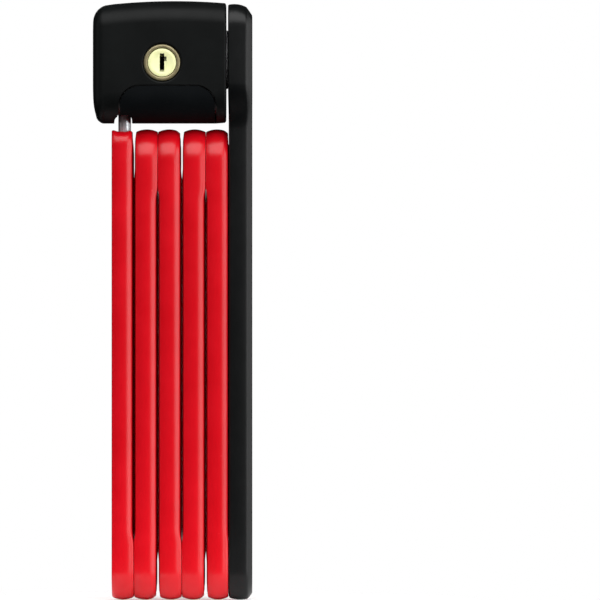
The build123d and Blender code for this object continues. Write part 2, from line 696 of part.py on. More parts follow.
def main():
    os.makedirs("parts", exist_ok=True)
    for number in range(1, 7):
        write(f"link_{number}_core", link_core(number))
    for number in range(1, 6):
        write(f"link_{number}_cover", red_cover(number))
        write(f"joint_{number}{number + 1}_rivet", joint_rivet(number))
        write(f"joint_{number}{number + 1}_washer", joint_washer(number))
    write("link_6_cover", outer_cover())
    front, rear, panel = shells()
    write("body_front_shell", front)
    write("body_rear_shell", rear)
    write("body_front_insert", panel)
    write("body_case", steel_case())
    write("body_rivet", body_rivet())
    write("body_rivet_pin", pivot_pin())
    write("body_rivet_washer", body_washer())
    write("mechanism_plate", mechanism_plate())
    write("plate_screws", plate_screws())
    write("cylinder_barrel", barrel())
    write("cylinder_pin", barrel_pin())
    write("cylinder_plug", plug())
    write("detainer_discs", detainer_discs())
    write("side_bar", side_bar())
    write("retaining_clip", retaining_clip())
    write("drive_cam", drive_cam())
    write("locking_bolt", locking_bolt())


main()
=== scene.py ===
import bpy
import bmesh
import json
import math
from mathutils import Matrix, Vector


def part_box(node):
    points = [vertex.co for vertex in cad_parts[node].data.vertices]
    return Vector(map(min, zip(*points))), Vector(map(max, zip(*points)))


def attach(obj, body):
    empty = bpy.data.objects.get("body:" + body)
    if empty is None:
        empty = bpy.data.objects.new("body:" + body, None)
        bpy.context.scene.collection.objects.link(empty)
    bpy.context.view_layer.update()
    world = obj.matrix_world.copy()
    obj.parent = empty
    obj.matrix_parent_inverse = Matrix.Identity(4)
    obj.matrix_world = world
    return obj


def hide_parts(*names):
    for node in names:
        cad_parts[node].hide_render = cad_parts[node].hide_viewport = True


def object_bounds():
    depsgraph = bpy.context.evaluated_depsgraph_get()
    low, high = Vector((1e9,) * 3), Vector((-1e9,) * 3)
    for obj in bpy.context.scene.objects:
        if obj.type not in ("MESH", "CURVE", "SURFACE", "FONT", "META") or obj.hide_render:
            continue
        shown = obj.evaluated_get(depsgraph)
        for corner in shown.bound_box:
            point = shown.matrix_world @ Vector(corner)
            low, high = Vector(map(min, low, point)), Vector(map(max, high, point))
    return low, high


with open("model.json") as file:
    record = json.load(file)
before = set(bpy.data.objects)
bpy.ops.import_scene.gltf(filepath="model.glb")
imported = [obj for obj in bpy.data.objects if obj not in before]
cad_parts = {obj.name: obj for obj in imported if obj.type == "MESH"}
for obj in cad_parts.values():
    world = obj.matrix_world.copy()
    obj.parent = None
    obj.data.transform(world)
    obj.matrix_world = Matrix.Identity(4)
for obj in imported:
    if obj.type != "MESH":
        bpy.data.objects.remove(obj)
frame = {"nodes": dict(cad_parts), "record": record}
CAD_BOX = [list(c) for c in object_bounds()]
MM = 0.001

# ------------------------------------------------------------------ materials


class Nodes:
    """A small helper that builds one node material."""

    def __init__(self, name):
        self.material = bpy.data.materials.new(name)
        self.material.use_nodes = True
        self.tree = self.material.node_tree
        self.shader = self.tree.nodes["Principled BSDF"]

    def add(self, kind, **inputs):
        node = self.tree.nodes.new(kind)
        for key, value in inputs.items():
            node.inputs[key.replace("_", " ")].default_value = value
        return node

    def link(self, out, into):
        self.tree.links.new(out, into)

    def coordinates(self, scale=(1, 1, 1)):
        place = self.add("ShaderNodeTexCoord")
        mapping = self.add("ShaderNodeMapping")
        mapping.inputs["Scale"].default_value = scale
        self.link(place.outputs["Object"], mapping.inputs["Vector"])
        return mapping.outputs["Vector"]

    def noise(self, vector, scale, detail=4.0, roughness=0.5):
        node = self.add("ShaderNodeTexNoise", Scale=scale, Detail=detail, Roughness=roughness)
        self.link(vector, node.inputs["Vector"])
        return node.outputs["Fac"]

    def ramp(self, value, stops):
        """Blends between the colours of two stops (place, colour)."""
        node = self.add("ShaderNodeValToRGB")
        for element, (place, colour) in zip(node.color_ramp.elements, stops):
            element.position = place
            element.color = (*colour, 1)
        self.link(value, node.inputs["Fac"])
        return node.outputs["Color"]

    def span(self, value, low, high):
        """Maps 0..1 to low..high."""
        node = self.add("ShaderNodeMapRange")
        node.inputs["To Min"].default_value = low
        node.inputs["To Max"].default_value = high
        self.link(value, node.inputs["Value"])
        return node.outputs["Result"]

    def bump(self, height, distance, strength=1.0, after=None):
        node = self.add("ShaderNodeBump", Strength=strength, Distance=distance)
        self.link(height, node.inputs["Height"])
        if after is not None:
            self.link(after, node.inputs["Normal"])
        self.link(node.outputs["Normal"], self.shader.inputs["Normal"])
        return node.outputs["Normal"]

    def set(self, **values):
        for key, value in values.items():
            self.shader.inputs[key.replace("_", " ")].default_value = value


MOTTLE_SCALE = 90           # noise scales are per metre
UNEVEN_SCALE = 60
UNEVEN_DEPTH = 0.00006
PLASTIC_SHEEN_SCALE = 260
METAL_SHEEN_SCALE = 150
SCRATCH_SCALE = 420
SCRATCH_DEPTH = 0.000015


def grained_plastic(name, dark, light, rough, grain, grain_depth, specular):
    """Moulded plastic: slight mottling in the colour, fine spark-eroded grain, and a soft unevenness."""
    m = Nodes(name)
    where = m.coordinates()
    mottle = m.noise(where, MOTTLE_SCALE, 5)
    m.link(m.ramp(mottle, [(0.3, dark), (0.7, light)]), m.shader.inputs["Base Color"])
    m.link(m.span(m.noise(where, PLASTIC_SHEEN_SCALE, 3), *rough), m.shader.inputs["Roughness"])
    soft = m.bump(m.noise(where, UNEVEN_SCALE, 2), UNEVEN_DEPTH, 0.5)
    m.bump(m.noise(where, grain, 3, 0.6), grain_depth, 0.6, soft)
    m.set(Specular_IOR_Level=specular)
    return m.material


def brushed_metal(name, dark, light, rough, stretch, metallic=1.0):
    """Metal with fine lines along the axis that stretch leaves long."""
    m = Nodes(name)
    lines = m.noise(m.coordinates(stretch), SCRATCH_SCALE, 6, 0.65)
    m.link(m.ramp(lines, [(0.25, dark), (0.75, light)]), m.shader.inputs["Base Color"])
    m.link(m.span(m.noise(m.coordinates(), METAL_SHEEN_SCALE, 4), *rough), m.shader.inputs["Roughness"])
    m.bump(lines, SCRATCH_DEPTH, 0.5)
    m.set(Metallic=metallic)
    return m.material


LINES_ALONG_Z = (1, 1, 0.06)
LINES_ALONG_Y = (1, 0.1, 1)
NO_LINES = (1, 1, 1)

RED = grained_plastic(
    "red_cover", dark=(0.61, 0.002, 0.008), light=(0.68, 0.004, 0.012), rough=(0.22, 0.29),
    grain=2600, grain_depth=0.00001, specular=0.40)
BLACK = grained_plastic(
    "black_housing", dark=(0.0034, 0.0040, 0.0040), light=(0.0052, 0.0060, 0.0060), rough=(0.38, 0.48),
    grain=2200, grain_depth=0.00002, specular=0.11)
BLACK_LINK = grained_plastic(
    "black_link", dark=(0.0022, 0.0026, 0.0028), light=(0.0040, 0.0046, 0.0048), rough=(0.33, 0.42),
    grain=2200, grain_depth=0.00002, specular=0.27)
BLACK_INSERT = grained_plastic(
    "black_insert", dark=(0.0036, 0.0044, 0.0050), light=(0.0056, 0.0066, 0.0074), rough=(0.50, 0.58),
    grain=2400, grain_depth=0.00001, specular=0.03)
STEEL = brushed_metal(
    "hardened_steel", dark=(0.40, 0.41, 0.42), light=(0.60, 0.61, 0.62), rough=(0.24, 0.36),
    stretch=LINES_ALONG_Z)
# plated washer steel, made pale and half diffuse: partly its plating, partly painted light so that it shows
# in the shaded gap beside the body
WASHER_PAINTED_LIGHT = brushed_metal(
    "plated_washer_painted_light", dark=(0.70, 0.71, 0.72), light=(0.88, 0.89, 0.90), rough=(0.55, 0.68),
    stretch=NO_LINES, metallic=0.5)
# dark steel of the body's case; the same material is put on the plug's keyway walls as painted shade
CASE_STEEL_AND_KEYWAY_SHADE = brushed_metal(
    "case_steel_and_keyway_shade", dark=(0.06, 0.06, 0.062), light=(0.12, 0.12, 0.122), rough=(0.4, 0.55),
    stretch=LINES_ALONG_Y)
# the same hardened steel as the core, made lighter and less metallic: painted light on the tongue, which lies
# in the body's shade
TONGUE_STEEL_PAINTED_LIGHT = brushed_metal(
    "tongue_steel_painted_light", dark=(0.66, 0.72, 0.76), light=(0.86, 0.92, 0.96), rough=(0.24, 0.34),
    stretch=LINES_ALONG_Z, metallic=0.35)
BRASS = brushed_metal(
    "plug_brass", dark=(0.92, 0.94, 0.45), light=(0.98, 0.99, 0.58), rough=(0.36, 0.48),
    stretch=NO_LINES, metallic=0.08)
BRONZE = brushed_metal(
    "barrel_bronze", dark=(0.24, 0.20, 0.10), light=(0.38, 0.33, 0.19), rough=(0.28, 0.42),
    stretch=NO_LINES, metallic=0.5)

NODE_MATERIAL = {
    "red_plastic": RED,
    "black_plastic": BLACK,
    "steel": STEEL,
    "brass": BRASS,
    "bronze": BRONZE,
}


def dress(obj, material):
    obj.data.materials.clear()
    obj.data.materials.append(material)


def dress_cad_nodes():
    slots = {part["node"]: part["material_slot"] for part in frame["record"]["subparts"]}
    for name, obj in frame["nodes"].items():
        dress(obj, NODE_MATERIAL[slots[name]])
    dress(frame["nodes"]["body_case"], CASE_STEEL_AND_KEYWAY_SHADE)
    dress(frame["nodes"]["body_front_insert"], BLACK_INSERT)
    dress(frame["nodes"]["body_rivet_washer"], WASHER_PAINTED_LIGHT)


# ------------------------------------------------------------------ helpers for meshes, in millimetres

def corners(node):
    """Lowest and highest corner of a CAD node, in millimetres."""
    low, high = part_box(node)
    return low / MM, high / MM


def smooth_step(value):
    value = min(max(value, 0.0), 1.0)
    return value * value * (3 - 2 * value)


def mix(a, b, share):
    return a + (b - a) * share


def piece(name, shape, material, body, nodes):
    """Turns a bmesh in millimetres into a piece of the lock that rides on a body and stands for CAD nodes."""
    bmesh.ops.recalc_face_normals(shape, faces=shape.faces)
    bmesh.ops.scale(shape, vec=(MM, MM, MM), verts=shape.verts)
    mesh = bpy.data.meshes.new(name)
    shape.to_mesh(mesh)
    shape.free()
    obj = bpy.data.objects.new(name, mesh)
    bpy.context.scene.collection.objects.link(obj)
    for face in mesh.polygons:
        face.use_smooth = True
    dress(obj, material)
    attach(obj, body)
    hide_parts(*nodes)
    return obj


def even_normals(obj):
    """Keeps large faces flat in the shading, next to small rounded ones."""
    modifier = obj.modifiers.new("even_normals", "WEIGHTED_NORMAL")
    modifier.weight = 90
    modifier.keep_sharp = True


def bridge(shape, ring_a, ring_b, closed):
    count = len(ring_a)
    for i in range(count if closed else count - 1):
        j = (i + 1) % count
        shape.faces.new((ring_a[i], ring_a[j], ring_b[j], ring_b[i]))


LATHE_WELD = 0.0005         # closes the loop of a turned ring


def lathe(shape, profile, axis, centre, steps=72):
    """Turns (along, radius) points about an X or Y axis through centre; radius 0 closes an end."""
    rings = []
    for along, radius in profile:
        ring = []
        for i in range(1 if radius == 0 else steps):
            angle = 2 * math.pi * i / steps
            side = radius * math.cos(angle)
            up = radius * math.sin(angle)
            offset = (along, side, up) if axis == "x" else (side, along, up)
            ring.append(shape.verts.new(Vector(centre) + Vector(offset)))
        rings.append(ring)
    for a, b in zip(rings, rings[1:]):
        if len(a) == 1 or len(b) == 1:
            tip, rim = (a[0], b) if len(a) == 1 else (b[0], a)
            for i in range(steps):
                shape.faces.new((tip, rim[i], rim[(i + 1) % steps]))
        else:
            bridge(shape, a, b, True)
    return rings


def prism(outline, axis, start, end):
    """Closed prism over a 2-D outline: (y, z) along X, or (x, z) along Y."""
    shape = bmesh.new()
    rings = []
    for along in (start, end):
        if axis == "x":
            rings.append([shape.verts.new((along, a, b)) for a, b in outline])
        else:
            rings.append([shape.verts.new((a, along, b)) for a, b in outline])
    bridge(shape, rings[0], rings[1], True)
    for ring in rings:
        shape.faces.new(ring)
    bmesh.ops.recalc_face_normals(shape, faces=shape.faces)
    return shape


def arc(centre, radius, start, end, steps):
    """Points on an arc, both ends included; angles in degrees."""
    points = []
    for i in range(steps + 1):
        angle = math.radians(mix(start, end, i / steps))
        points.append((centre[0] + radius * math.cos(angle), centre[1] + radius * math.sin(angle)))
    return points


def tool(shape):
    """A mesh object that only serves to cut others; it is removed after use."""
    bmesh.ops.recalc_face_normals(shape, faces=shape.faces)
    mesh = bpy.data.meshes.new("tool")
    shape.to_mesh(mesh)
    shape.free()
    obj = bpy.data.objects.new("tool", mesh)
    bpy.context.scene.collection.objects.link(obj)
    return obj


def combined(base, steps):
    """The base bmesh cut or clipped by each (operation, bmesh) in turn, as a new bmesh."""
    body = tool(base)
    tools = [body]
    for operation, shape in steps:
        cutter = tool(shape)
        tools.append(cutter)
        modifier = body.modifiers.new("cut", "BOOLEAN")
        modifier.operation = operation
        modifier.solver = "EXACT"
        modifier.object = cutter
    graph = bpy.context.evaluated_depsgraph_get()
    result = bmesh.new()
    result.from_mesh(body.evaluated_get(graph).to_mesh())
    for obj in tools:
        mesh = obj.data
        bpy.data.objects.remove(obj)
        bpy.data.meshes.remove(mesh)
    return result


# ------------------------------------------------------------------ links

COVER_HALF_WIDTH = 9.5
RED_HALF_THICK = 3.35
CORE_THICK = 5.0
CROWN = 0.85
BELLY = 0.598
OUTER_BELLY_GAP = 0.02
TOP_RISE = 0.6              # ends a little longer at the top than at the bottom
PAD_FULL = 8.6              # from the rivet inwards
PAD_SLOPE = 5.4
SLEEVE_CORNER = 3.7
WASHER_HOLE_R = 7.6
HEAD_HOLE_R = 6.1
HOLE_ROUNDING = 0.35
LEFT_CORNER = 0.7
RIGHT_CORNER = 1.8
STRIP_FLAT = 0.85           # the right edge is nearly a bevel, and shows as a light strip
STRIP_DEPTH = 0.55
PAD_CORNER = 0.45           # rounding of both edges where a pad swells the side
RED_HOLE_DEPTH = 1.4
CORNER_STEPS = 6
CROWN_STEPS = 10
SIDE_STEPS = 7
SIDE_SPACING = 0.8          # power that spaces a side's points a little wider near the middle line
END_STEPS = 36
LEVEL_STEP = 5.0
HOLE_LEVELS = 12            # stations from a hole's middle up to its edge
PAD_LEVELS = 8
LEVEL_GAP = 0.02
SAME = 0.001                # points closer than this are one point
RIM_DEPTH = 1.2             # how far into a side the edge of its hole may lie
RIM_TOLERANCE = 0.02


class Side:
    """One side of a cover at one station: where it lies, its belly, where its hole ends, and its rounding.

    flat turns the rounding into a bevel, and depth makes it shallower."""

    def __init__(self, x, radius, belly=0.0, start=0.0, flat=0.0, depth=1.0):
        self.x = x
        self.radius = radius
        self.belly = belly
        self.start = start
        self.flat = flat
        self.depth = depth


def half_ring(left, right, reach, crown):
    """Points (x, distance from the middle line) from the left side round the edge to the right side."""
    half = (right.x - left.x) / 2
    middle = (right.x + left.x) / 2
    crown_r = (half ** 2 + crown ** 2) / (2 * crown)
    centre = reach - crown_r
    shoulder = {}
    turn = {}
    for side in (left, right):
        across = half - side.radius
        shoulder[side] = centre + math.sqrt((crown_r - side.radius) ** 2 - across ** 2)
        turn[side] = math.atan2(shoulder[side] - centre, across)

    def face(side, sign):
        points = []
        for i in range(SIDE_STEPS):
            d = mix(side.start, shoulder[side], (i / SIDE_STEPS) ** SIDE_SPACING)
            points.append((side.x + sign * side.belly * (1 - (d / shoulder[side]) ** 2), d))
        return points

    def corner(side, sign):
        points = []
        hub = side.x - sign * side.radius
        for i in range(CORNER_STEPS + 1):
            angle = turn[side] * i / CORNER_STEPS
            x = hub + sign * side.radius * math.cos(angle)
            points.append((x, shoulder[side] + side.radius * math.sin(angle)))
        ends = points[0], points[-1]
        for i in range(CORNER_STEPS + 1):
            share = i / CORNER_STEPS
            chord = mix(ends[0][0], ends[1][0], share), mix(ends[0][1], ends[1][1], share)
            inwards = ends[1][1] - mix(points[i][1], chord[1], side.flat)
            points[i] = mix(points[i][0], chord[0], side.flat), ends[1][1] - inwards * side.depth
        return points

    over = []
    for i in range(1, CROWN_STEPS):
        angle = mix(math.pi - turn[left], turn[right], i / CROWN_STEPS)
        over.append((middle + crown_r * math.cos(angle), centre + crown_r * math.sin(angle)))
    return face(left, -1) + corner(left, -1) + over + corner(right, 1)[::-1] + face(right, 1)[::-1]


def rounded_reach(direction, half, top, radius):
    """How far it is from the middle to a rounded-rectangle outline in a direction (across, up)."""
    across = abs(direction[0])
    up = direction[1]
    flat = min(half / max(across, 1e-6), top / max(up, 1e-6))
    hub = (half - radius, top - radius)
    if flat * across > hub[0] and flat * up > hub[1]:
        along = across * hub[0] + up * hub[1]
        return along + math.sqrt(max(along ** 2 - hub[0] ** 2 - hub[1] ** 2 + radius ** 2, 0))
    return flat


def levels(low, high, marks, pads):
    """Heights of the level stations between the two ends: close together at hole edges and pad slopes."""
    heights = set()
    for z, radius in marks:
        for i in range(-HOLE_LEVELS, HOLE_LEVELS + 1):
            heights.add(round(z + radius * math.sin(math.radians(90 / HOLE_LEVELS * i)), 3))
    for z, way in pads:
        for i in range(PAD_LEVELS + 1):
            heights.add(round(z + way * (PAD_FULL + PAD_SLOPE * i / PAD_LEVELS), 3))
    count = int((high - low) / LEVEL_STEP)
    for i in range(count + 1):
        heights.add(round(mix(low, high, i / count), 3))
    kept = []
    for z in sorted(h for h in heights if low < h < high):
        if not kept or z - kept[-1] > LEVEL_GAP or any(abs(abs(z - m) - r) < SAME for m, r in marks):
            kept.append(z)
    return kept


def open_start(z, holes):
    """How far from the middle line a side's face starts at height z, because of a hole there."""
    return max([math.sqrt(max(r * r - (z - h) ** 2, 0)) for h, r in holes if abs(z - h) < r] + [0.0])


def sweep(stations):
    """Surface through a closed loop of stations (height, (across, up), ring points)."""
    shape = bmesh.new()
    rings = []
    for z, (across, up), points in stations:
        rings.append([shape.verts.new((x, d * across, z + d * up)) for x, d in points])
    for a, b in zip(rings, rings[1:] + rings[:1]):
        bridge(shape, a, b, False)
    bmesh.ops.remove_doubles(shape, verts=shape.verts, dist=SAME)
    return shape


def sink_holes(shape, holes, depth):
    """Rounds the edge of each hole (x, z, radius, way inwards) and gives it a wall."""
    for x, z, radius, inwards in holes:

        def on_rim(v):
            near = abs(math.hypot(v.co.y, v.co.z - z) - radius) < RIM_TOLERANCE
            return near and (v.co.x - x) * inwards < RIM_DEPTH

        rim = [e for e in shape.edges if e.is_boundary and all(on_rim(v) for v in e.verts)]
        for shrink, wall in ((0.1, False), (0.25, False), (HOLE_ROUNDING, False), (HOLE_ROUNDING, True)):
            made = bmesh.ops.extrude_edge_only(shape, edges=rim)["geom"]
            rim = [g for g in made if isinstance(g, bmesh.types.BMEdge) and g.is_boundary]
            for v in {v for e in rim for v in e.verts}:
                factor = (radius - shrink) / math.hypot(v.co.y, v.co.z - z)
                v.co.y *= factor
                v.co.z = z + (v.co.z - z) * factor
                v.co.x = x + inwards * depth if wall else v.co.x + inwards * HOLE_ROUNDING / 3


def end_directions(first, last, steps):
    for i in range(steps + 1):
        angle = math.radians(mix(first, last, i / steps))
        yield math.cos(angle), math.sin(angle)


def red_link(number):
    """Cover of one red link: a bellied bar with round ends, swollen at each rivet towards its neighbour."""
    low, high = corners(f"link_{number}_cover")
    core_low = corners(f"link_{number}_core")[0]
    middle = core_low.x + CORE_THICK / 2
    low_rivet = low.z + COVER_HALF_WIDTH
    top_rivet = high.z - COVER_HALF_WIDTH
    low_way = 1 if number % 2 else -1
    swell = {-1: middle - RED_HALF_THICK - low.x, 1: high.x - middle - RED_HALF_THICK}
    high_swell = {"high": swell[-low_way]} if number > 1 else {}
    rise = {low_way: {"low": swell[low_way]}, -low_way: high_swell}
    belly = {-1: BELLY, 1: BELLY}
    if number == 1:
        belly[-1] = 0.0
    if number == 5:
        outer_face = corners("link_6_cover")[0].x + OUTER_SET_BACK
        belly[1] = outer_face - middle - RED_HALF_THICK - OUTER_BELLY_GAP
    edge = HOLE_ROUNDING
    low_holes = {low_way: (low_rivet, WASHER_HOLE_R + edge), -low_way: (low_rivet, HEAD_HOLE_R + edge)}
    top_holes = {}
    if number > 1:
        top_holes = {-low_way: (top_rivet, WASHER_HOLE_R + edge), low_way: (top_rivet, HEAD_HOLE_R + edge)}

    def side(way, z, start):
        """Side of the link at height z, with the pads it has there."""
        up = 1 - smooth_step((z - low_rivet - PAD_FULL) / PAD_SLOPE)
        down = 1 - smooth_step((top_rivet - z - PAD_FULL) / PAD_SLOPE) if number > 1 else 0
        low_rise = rise[way].get("low", 0) * up
        high_rise = rise[way].get("high", 0) * down
        swollen = (up if "low" in rise[way] else 0) + (down if "high" in rise[way] else 0)
        x = middle + way * (RED_HALF_THICK + low_rise + high_rise)
        radius = mix(LEFT_CORNER if way < 0 else RIGHT_CORNER, PAD_CORNER, swollen)
        if way < 0:
            return Side(x, radius, belly[way] * (1 - swollen), start)
        return Side(x, radius, belly[way] * (1 - swollen), start, STRIP_FLAT, STRIP_DEPTH)

    def station(z, direction, reach, starts):
        left = side(-1, z, starts[-1])
        right = side(1, z, starts[1])
        return z, direction, half_ring(left, right, reach, CROWN)

    holes = {way: [h[way] for h in (low_holes, top_holes) if way in h] for way in (-1, 1)}
    marks = [m for way in holes for m in holes[way]]
    pads = [(low_rivet, 1), (top_rivet, -1)]
    shaft = levels(low_rivet, top_rivet, marks, pads)
    stations = []
    for z in shaft[::-1]:
        starts = {way: open_start(z, holes[way]) for way in (-1, 1)}
        stations.append(station(z, (-1, 0), COVER_HALF_WIDTH, starts))
    low_starts = {way: low_holes[way][1] for way in (-1, 1)}
    for direction in end_directions(180, 360, END_STEPS):
        stations.append(station(low_rivet, direction, COVER_HALF_WIDTH, low_starts))
    for z in shaft:
        starts = {way: open_start(z, holes[way]) for way in (-1, 1)}
        stations.append(station(z, (1, 0), COVER_HALF_WIDTH, starts))
    top_starts = {way: top_holes[way][1] if number > 1 else 0 for way in (-1, 1)}
    for direction in end_directions(0, 180, END_STEPS):
        if number > 1:
            reach = COVER_HALF_WIDTH + TOP_RISE * direction[1] ** 2
        else:
            reach = rounded_reach(direction, COVER_HALF_WIDTH, high.z - top_rivet, SLEEVE_CORNER)
        stations.append(station(top_rivet, direction, reach, top_starts))
    shape = sweep(stations)
    if number == 1:
        square_sleeve(shape, middle, high.z)
    walls = []
    for way in (-1, 1):
        for z, radius in holes[way]:
            near = rise[way].get("low" if z == low_rivet else "high", 0)
            walls.append((middle + way * (RED_HALF_THICK + near), z, radius, -way))
    sink_holes(shape, walls, RED_HOLE_DEPTH)
    nodes = [f"link_{number}_cover"]
    obj = piece(f"red_cover_{number}", shape, RED, f"link_{number}", nodes)
    even_normals(obj)


SLEEVE_FLAT_REACH = 2.4     # below the top, where the flattening starts
SLEEVE_FLAT_BLEND = 1.6
LIP_HEIGHT = 0.3
LIP_START = 0.45            # share of the half thickness
LIP_BLEND = 0.3


def square_sleeve(shape, middle, top):
    """Flattens the domed end of link 1's cover and raises a small lip along each side of it."""
    for v in shape.verts:
        across = min(abs(v.co.x - middle) / RED_HALF_THICK, 1.0)
        share = smooth_step((v.co.z - top + SLEEVE_FLAT_REACH) / SLEEVE_FLAT_BLEND)
        lip = LIP_HEIGHT * smooth_step((across - LIP_START) / LIP_BLEND)
        v.co.z += share * (CROWN * across ** 2 + lip)


OUTER_CORNER = 1.1
OUTER_SET_BACK = 0.2        # of its left face, from the head's
OUTER_PAD = 0.1             # how far its left face stands out again around the lower rivet
OUTER_BEVEL = 2.0           # flat bevel along the right edge of the black link
OUTER_BEVEL_FLAT = 0.8
OUTER_CROWN = 0.7
OUTER_HOLE_DEPTH = 1.5
HEAD_CORNER = 0.6
HEAD_BEVEL = 2.1
HEAD_CROWN = 0.4
HEAD_HALF = 15.0
NECK_DROP = 2.0             # where the head starts to widen, below the body's foot
NECK_HEIGHT = 15.0
HEAD_TOP_RADIUS = 7.0
HEAD_DROP = 2.1             # how far its top slopes down to the right
HEAD_DROP_REACH = 9         # height over which the slope sets in, up to the top
HEAD_DROP_POWER = 2.6
NECK_STEPS = 24
NECK_GAP = 0.15             # other stations keep this far from the neck's own
PIVOT_HOLE_R = 7.9
PIVOT_SHANK_HOLE_R = 5.15


def black_link():
    """Cover of the black link: a straight bar that widens into a head beside the body."""
    low, high = corners("link_6_cover")
    low_rivet = low.z + COVER_HALF_WIDTH
    pivot = frame_joint("body_pivot").z
    neck = corners("body_front_shell")[0].z - NECK_DROP
    edge = HOLE_ROUNDING
    holes = {-1: [(low_rivet, WASHER_HOLE_R + edge), (pivot, PIVOT_SHANK_HOLE_R + edge)],
             1: [(low_rivet, HEAD_HOLE_R + edge), (pivot, PIVOT_HOLE_R + edge)]}

    def reach_at(z):
        return mix(COVER_HALF_WIDTH, HEAD_HALF, smooth_step((z - neck) / NECK_HEIGHT))

    def station(z, direction, reach, starts):
        head = smooth_step((z - neck) / NECK_HEIGHT)
        pad = 1 - smooth_step((z - low_rivet - PAD_FULL) / PAD_SLOPE)
        left_x = mix(low.x + OUTER_SET_BACK - OUTER_PAD * pad, low.x, head)
        left = Side(left_x, mix(OUTER_CORNER, HEAD_CORNER, head), 0, starts[0])
        right = Side(high.x, mix(OUTER_BEVEL, HEAD_BEVEL, head), 0, starts[1], OUTER_BEVEL_FLAT)
        return z, direction, half_ring(left, right, reach, mix(OUTER_CROWN, HEAD_CROWN, head))

    shaft = levels(low_rivet, pivot, holes[-1] + holes[1], [(low_rivet, 1)])
    bend = [neck + NECK_HEIGHT * i / NECK_STEPS for i in range(NECK_STEPS + 1)]
    shaft = sorted([z for z in shaft if all(abs(z - b) > NECK_GAP for b in bend)] + bend)
    stations = []
    for z in shaft[::-1]:
        stations.append(station(z, (-1, 0), reach_at(z), [open_start(z, holes[w]) for w in (-1, 1)]))
    for direction in end_directions(180, 360, END_STEPS):
        stations.append(station(low_rivet, direction, COVER_HALF_WIDTH, [holes[w][0][1] for w in (-1, 1)]))
    for z in shaft:
        stations.append(station(z, (1, 0), reach_at(z), [open_start(z, holes[w]) for w in (-1, 1)]))
    for direction in end_directions(0, 180, END_STEPS * 2):
        reach = rounded_reach(direction, HEAD_HALF, high.z - pivot, HEAD_TOP_RADIUS)
        stations.append(station(pivot, direction, reach, [holes[w][1][1] for w in (-1, 1)]))
    shape = sweep(stations)
    for v in shape.verts:
        across = (v.co.x - low.x) / (high.x - low.x)
        share = smooth_step((v.co.z - high.z + HEAD_DROP_REACH) / HEAD_DROP_REACH)
        v.co.z -= share * HEAD_DROP * max(across, 0) ** HEAD_DROP_POWER
    pad_x = low.x + (OUTER_SET_BACK - OUTER_PAD)
    walls = [(pad_x, low_rivet, holes[-1][0][1], 1), (low.x, pivot, holes[-1][1][1], 1),
             (high.x, low_rivet, holes[1][0][1], -1), (high.x, pivot, holes[1][1][1], -1)]
    sink_holes(shape, walls, OUTER_HOLE_DEPTH)
    obj = piece("black_link_cover", shape, BLACK_LINK, "link_6", ["link_6_cover"])
    even_normals(obj)


def frame_joint(name):
    """Place of a hinge, in millimetres."""
    joint = next(j for j in frame["record"]["behaviour"]["joints"] if j["name"] == name)
    return Vector(joint["pos_m"]) / MM


# ------------------------------------------------------------------ body

LEFT_ROUNDING = 4.0
LOW_RADIUS = 10.0
HIGH_RADIUS = 7.0
RIM = 0.5
WALL = 2.2
SLOT_CEILING_R = 11.4
SLOT_FRONT = -4.7
SLOT_HALF = 4.6
NOTCH_ROUNDING = 1.6
GROOVE = 0.5
KEY_HOLE_R = 6.3
KEY_MOUTH = 0.5
BODY_MOUTH_R = 5.1
LOW_RADIUS_AT_LEFT = 5.0
HIGH_RADIUS_AT_LEFT = 4.5
FOOT_LIFT = 0.6             # slope of the foot's last bit, on the right
FOOT_LIFT_REACH = 0.9
LOOP_ARC_STEPS = 12
LOOP_STRAIGHT_STEPS = 8
ROUNDED_STEPS = 12
STRAIGHT_STEPS = 14
RIM_STEPS = 6
FAR = 40                    # tools run this far, well past the body


def arc_z(x, a, b, c):
    """Height at x on the circle through three (x, z) points."""
    (ax, az), (bx, bz), (cx, cz) = a, b, c
    d = 2 * (ax * (bz - cz) + bx * (cz - az) + cx * (az - bz))
    aa, bb, cc = ax * ax + az * az, bx * bx + bz * bz, cx * cx + cz * cz
    ux = (aa * (bz - cz) + bb * (cz - az) + cc * (az - bz)) / d
    uz = (aa * (cx - bx) + bb * (ax - cx) + cc * (bx - ax)) / d
    radius = math.hypot(ax - ux, az - uz)
    rise = math.sqrt(max(radius ** 2 - (x - ux) ** 2, 0))
    return uz + rise if bz > uz else uz - rise


def body_top(x, left, right, top):
    """Height of the body's upper outline at x."""
    marks = [(left, top - 7.2), (left + 1.45, top - 3.1), (left + 5.2, top - 1.15),
             (left + 24.2, top), (right - 1.0, top - 0.6)]
    if x < marks[2][0]:
        return arc_z(x, *marks[:3])
    return arc_z(x, *marks[2:])


def body_bottom(x, left, right, bottom):
    """Height of the body's lower outline at x."""
    marks = [(left, bottom + 9.1), (left + 0.2, bottom + 5.8), (left + 0.9, bottom + 2.5),
             (left + 1.7, bottom + 0.7), (left + 3.6, bottom)]
    if x < marks[2][0]:
        return arc_z(x, *marks[:3])
    if x < marks[4][0]:
        return arc_z(x, *marks[2:])
    if x > right - FOOT_LIFT_REACH:
        return bottom + FOOT_LIFT * (x - right + FOOT_LIFT_REACH)
    return bottom


